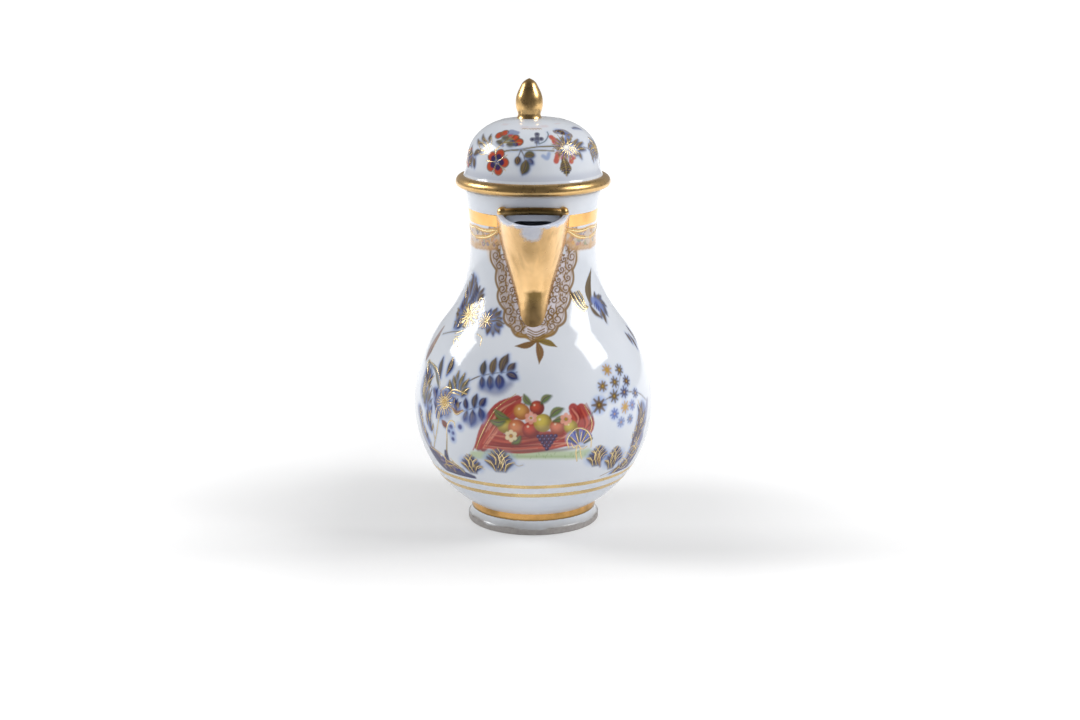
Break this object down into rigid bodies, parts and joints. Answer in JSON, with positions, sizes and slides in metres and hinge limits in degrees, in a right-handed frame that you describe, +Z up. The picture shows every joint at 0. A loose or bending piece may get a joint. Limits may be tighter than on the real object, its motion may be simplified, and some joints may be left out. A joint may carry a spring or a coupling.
{
  "type": "covered milk jug",
  "caption": "Pear-shaped porcelain jug with beak spout, scroll handle, turned foot and a domed lid that lifts off.",
  "frame": {"origin": "Centre of the foot ring's standing face, on the jug's turning axis.", "axes": "+Z up along the turning axis, -Y towards the spout, +Y towards the handle, +X to the right of someone who faces the spout."},
  "size_m": [0.078, 0.0905, 0.1454],
  "materials": {
    "painted_glaze": "glossy clear glaze over cool white porcelain, painted in blue, gold and iron red",
    "plain_glaze": "glossy clear glaze over cool white porcelain",
    "handle_glaze": "glossy white glaze with gilt lines",
    "foot_glaze": "glossy white glaze with a gilt band and a bare grey standing edge",
    "spout_gilding": "burnished gold leaf over glaze, a little worn at the lip",
    "rim_gilding": "burnished gold leaf over glaze"
  },
  "bodies": {
    "jug": {"body": "painted_glaze", "foot_ring": "foot_glaze", "spout": "spout_gilding", "spout_lip": "spout_gilding", "handle": "handle_glaze"},
    "lid": {"lid_dome": "painted_glaze", "lid_rim": "rim_gilding", "lid_flange": "plain_glaze", "finial_collar": "rim_gilding", "finial_bud": "rim_gilding"}
  },
  "joints": [
    {"name": "lid_lift", "type": "slide", "parent": "jug", "child": "lid", "axis": [0, 0, 1], "range_m": [0, 0.06]}
  ]
}
